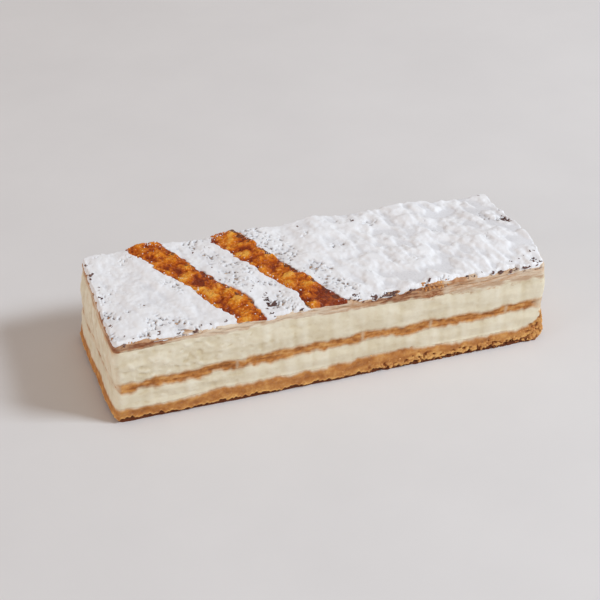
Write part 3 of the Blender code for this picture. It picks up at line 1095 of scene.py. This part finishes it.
def plain_finish(name, dark, light, size, roughness):
    """A simple two-toned finish for loose bits."""
    f = Finish(name)
    colour = f.ramp(f.noise(size, 3.0), (0.35, dark), (0.65, light))
    grain = f.bump(f.noise(0.5, 3.0), 0.4, 0.15)
    return f.finish(colour, roughness, grain)


# Camera, light and floor

CAMERA_PLACE = (-0.2340, -0.6975, 0.5440)
CAMERA_TURN = (54.90, 0.0, -17.94)  # degrees
LENS = 89.9  # mm
FLOOR_COLOURS = ((0.730, 0.725, 0.730), (0.760, 0.755, 0.760))
SKY, SKY_STRENGTH = (1.0, 0.85, 0.755, 1.0), 0.43

# Azimuth and height in degrees, distance and size in metres, watts and colour of each lamp
LAMPS = {
    "key": (-28, 41, 3.0, 0.8, 68.0, (0.83, 0.92, 1.0)),
    "fill": (195, 8, 6.0, 2.8, 116.0, (1.0, 0.92, 0.88)),
}


def make_camera():
    data = bpy.data.cameras.new("camera")
    data.lens = LENS
    data.sensor_width = 36.0
    data.clip_start = 0.01
    camera = bpy.data.objects.new("camera", data)
    camera.location = CAMERA_PLACE
    camera.rotation_euler = [math.radians(angle) for angle in CAMERA_TURN]
    bpy.context.scene.collection.objects.link(camera)
    bpy.context.scene.camera = camera


def make_light(name, azimuth, elevation, distance, size, power, colour):
    """A soft square lamp that looks at the strip. Azimuth 0 is to the right and 90 behind."""
    data = bpy.data.lights.new(name, "AREA")
    data.shape = "SQUARE"
    data.size = size
    data.energy = power
    data.color = colour
    lamp = bpy.data.objects.new(name, data)
    a, e = math.radians(azimuth), math.radians(elevation)
    towards = Vector((math.cos(a) * math.cos(e), math.sin(a) * math.cos(e), math.sin(e)))
    lamp.location = towards * distance
    lamp.rotation_euler = towards.to_track_quat("Z", "Y").to_euler()
    bpy.context.scene.collection.objects.link(lamp)


def make_studio():
    bm = bmesh.new()
    bmesh.ops.create_grid(bm, x_segments=1, y_segments=1, size=6.0)
    floor = make_object("floor", bm)
    f = Finish("floor_finish")
    mottle = f.ramp(f.noise(90.0, 4.0), *zip((0.3, 0.7), FLOOR_COLOURS))
    floor.data.materials.append(f.finish(mottle, 0.8))
    world = bpy.data.worlds.new("studio")
    world.use_nodes = True
    background = world.node_tree.nodes["Background"]
    background.inputs["Color"].default_value = SKY
    background.inputs["Strength"].default_value = SKY_STRENGTH
    bpy.context.scene.world = world
    for name, values in LAMPS.items():
        make_light(name, *values)
    bpy.context.scene.view_settings.view_transform = "Standard"


def place(piece, finish, slot, *nodes):
    """Gives a piece its material, puts it under the root body and hides the CAD layers it stands for."""
    piece.data.materials.append(finish)
    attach(piece, "root")
    if nodes:
        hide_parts(*nodes)


def main():
    base = layer_finish("base_pastry", BASE_COLOURS, FOOT)
    cream = layer_finish("cream", RUBBED_COLOURS, PORES)
    smeared = layer_finish("smeared_cream", RUBBED_COLOURS, SMEAR)
    middle = layer_finish("middle_pastry", MIDDLE_COLOURS, SCORCHED)
    top = layer_finish("top_pastry", TOP_COLOURS, SCORCHED_RIM)
    sides = (
        ("base_pastry_crumb", BASE_ROWS, dress_base, base, "base_pastry"),
        ("lower_cream_fill", LOWER_ROWS, dress_lower_cream, cream, "cream"),
        ("middle_pastry_leaf", MIDDLE_ROWS, dress_middle, middle, "middle_pastry"),
        ("upper_cream_fill", UPPER_ROWS, dress_upper_cream, smeared, "cream"),
    )
    for k, (name, rows, dress, finish, slot) in enumerate(sides):
        place(roll_layer(name, k, rows, dress), finish, slot, LAYERS[k])
    place(make_top_pastry(), top, "top_pastry", "top_pastry")

    sugar = sugar_finish()

    def end_of(k):
        return lambda y: edges_at(y, np.full(len(y), SHOULDER))[k] / MM

    def edge_of(band, k, shift):
        return lambda y: band_edges(band, y)[k] + shift

    for name, left_of, right_of in (
        ("sugar_left", end_of(0), edge_of(0, 0, BAND_TUCK)),
        ("sugar_between", edge_of(0, 1, -BAND_TUCK), edge_of(1, 0, BAND_TUCK)),
        ("sugar_right", edge_of(1, 1, -BAND_TUCK), end_of(1)),
    ):
        place(make_sugar(name, left_of, right_of), sugar, "icing_sugar")
    caramel = caramel_finish()
    for k in range(len(BANDS)):
        place(make_caramel(f"caramel_band_{k + 1}", k), caramel, "caramel")

    flake = plain_finish("scorched_flakes", (0.060, 0.022, 0.022), (0.19, 0.085, 0.060), 2.6, 0.55)
    crumb = plain_finish("crumbs", (0.48, 0.17, 0.045), (0.78, 0.43, 0.15), 2.6, 0.80)
    grain = plain_finish("sugar_grains", (0.80, 0.79, 0.80), (0.88, 0.88, 0.89), 2.0, 0.90)
    place(scatter_dark_flakes(), flake, "dark_crumb")
    place(scatter_crumbs(), crumb, "base_pastry")
    place(scatter_grains(), grain, "icing_sugar")
    make_camera()
    make_studio()


main()
